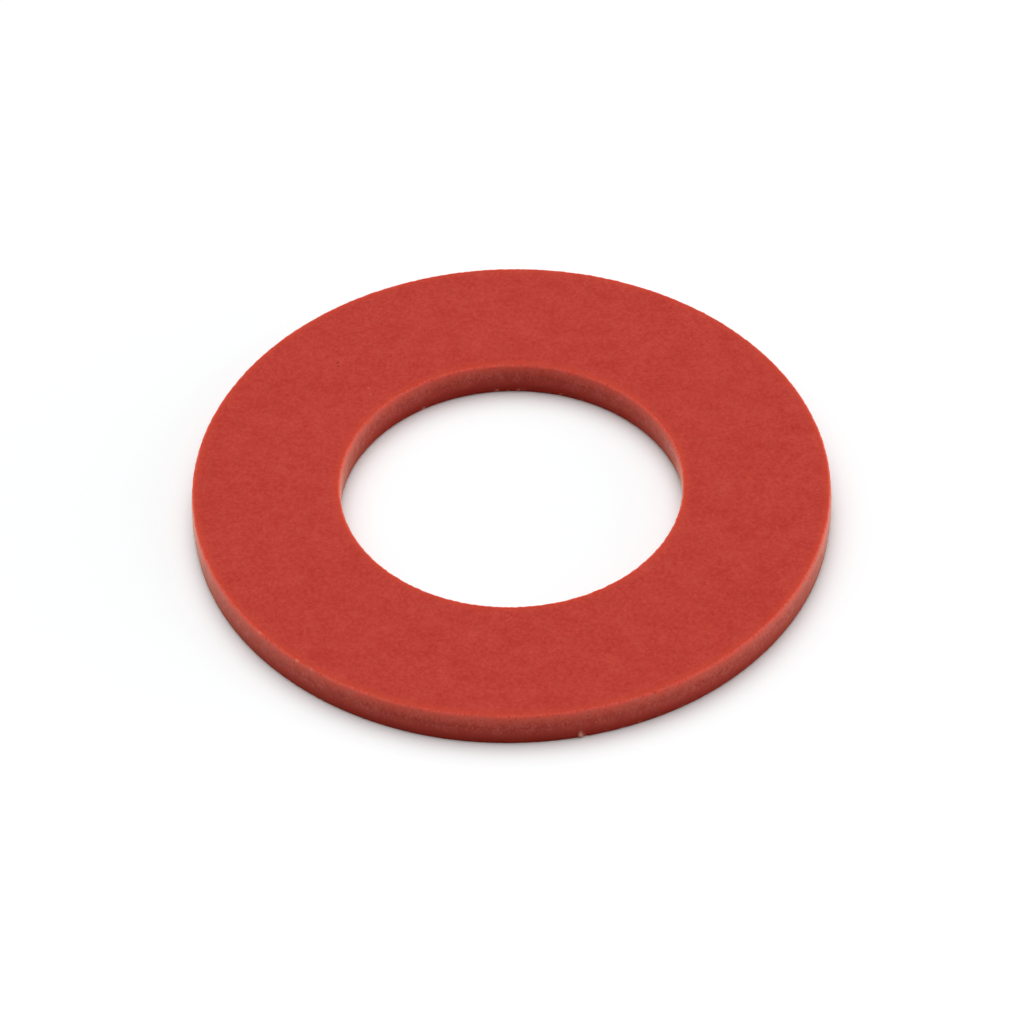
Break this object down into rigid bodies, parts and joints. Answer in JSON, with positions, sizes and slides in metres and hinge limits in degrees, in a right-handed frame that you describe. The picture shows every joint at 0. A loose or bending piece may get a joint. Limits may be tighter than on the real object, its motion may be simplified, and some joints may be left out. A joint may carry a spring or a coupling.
{
  "type": "water meter washer",
  "caption": "Flat ring washer die-cut from red sheet rubber, which seals the coupling nut of a water meter.",
  "frame": {"origin": "centre of the lower face, on which the washer lies", "axes": "+Z along the washer's axis, from the lower face to the upper face"},
  "size_m": [0.0254, 0.0254, 0.0015],
  "materials": {
    "red_rubber": "matt calendered faces, die-cut walls"
  },
  "bodies": {
    "root": {"washer": "red_rubber"}
  },
  "joints": []
}
